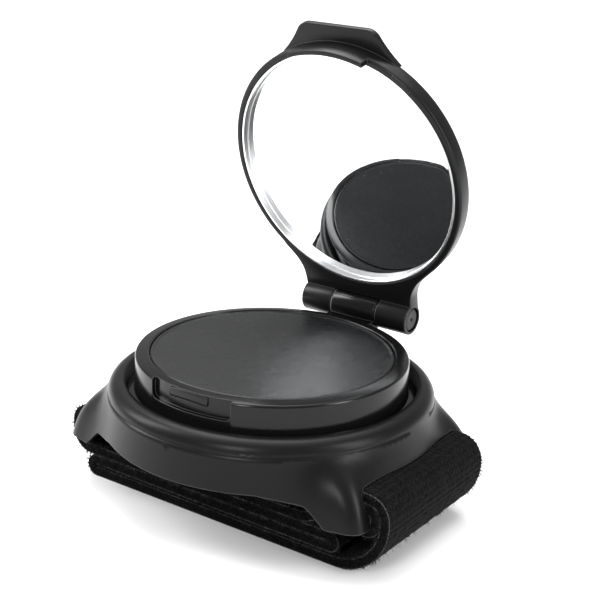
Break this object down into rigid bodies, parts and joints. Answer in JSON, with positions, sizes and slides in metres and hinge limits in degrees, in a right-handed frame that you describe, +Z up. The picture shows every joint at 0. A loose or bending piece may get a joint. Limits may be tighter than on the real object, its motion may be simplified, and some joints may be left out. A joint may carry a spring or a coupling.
{
  "type": "folding wrist mirror",
  "caption": "Round convex mirror in a hinged lid on a turning case, on a lugged base worn on the wrist with a folded hook-and-loop strap.",
  "frame": {"origin": "on the turning axis, at the height of the surface that the folded strap rests on", "axes": "+X along the strap and along the hinge axis, +Y from the latch recess towards the hinge, +Z up along the turning axis"},
  "size_m": [0.0863, 0.0756, 0.1029],
  "materials": {
    "base_plastic": "satin moulded black",
    "cover_plastic": "matte moulded black",
    "screw_steel": "zinc plated",
    "ring_plastic": "low friction, natural white",
    "strap_fabric": "loop pile webbing, black",
    "hook_tape": "moulded hook tape, black",
    "thread": "bonded sewing thread, black",
    "binding_fabric": "woven tape, black",
    "case_plastic": "semi-gloss moulded black",
    "plate_plastic": "satin dark grey",
    "adhesive": "double-sided tape",
    "disc_steel": "stamped, plain",
    "spring_steel": "spring steel, oiled",
    "lid_plastic": "satin moulded black",
    "mirror_metal": "vacuum metallised, convex",
    "pad_foam": "thin foam tape",
    "pin_steel": "drawn wire",
    "cap_plastic": "light grey moulded",
    "washer_plastic": "low friction, natural white"
  },
  "bodies": {
    "base": {"saddle_base": "base_plastic", "base_cover": "cover_plastic", "cover_screws": "screw_steel", "bearing_ring": "ring_plastic", "strap": "strap_fabric", "hook_patch": "hook_tape", "strap_stitches": "thread", "strap_end_binding": "binding_fabric"},
    "turntable": {"turning_case": "case_plastic", "face_plate": "plate_plastic", "plate_adhesive": "adhesive", "swivel_screw": "screw_steel", "retaining_disc": "disc_steel", "spring_washer": "spring_steel"},
    "lid": {"lid_frame": "lid_plastic", "mirror_insert": "mirror_metal", "mirror_pad": "pad_foam", "hinge_pin": "pin_steel", "pin_caps": "cap_plastic", "hinge_washers": "washer_plastic"}
  },
  "joints": [
    {"name": "swivel", "type": "hinge", "parent": "base", "child": "turntable", "pos_m": [0, 0, 0.024], "axis": [0, 0, 1], "continuous": true},
    {"name": "lid_hinge", "type": "hinge", "parent": "turntable", "child": "lid", "pos_m": [0, 0.03505, 0.0349], "axis": [1, 0, 0], "range_deg": [-35, 74.8]}
  ]
}
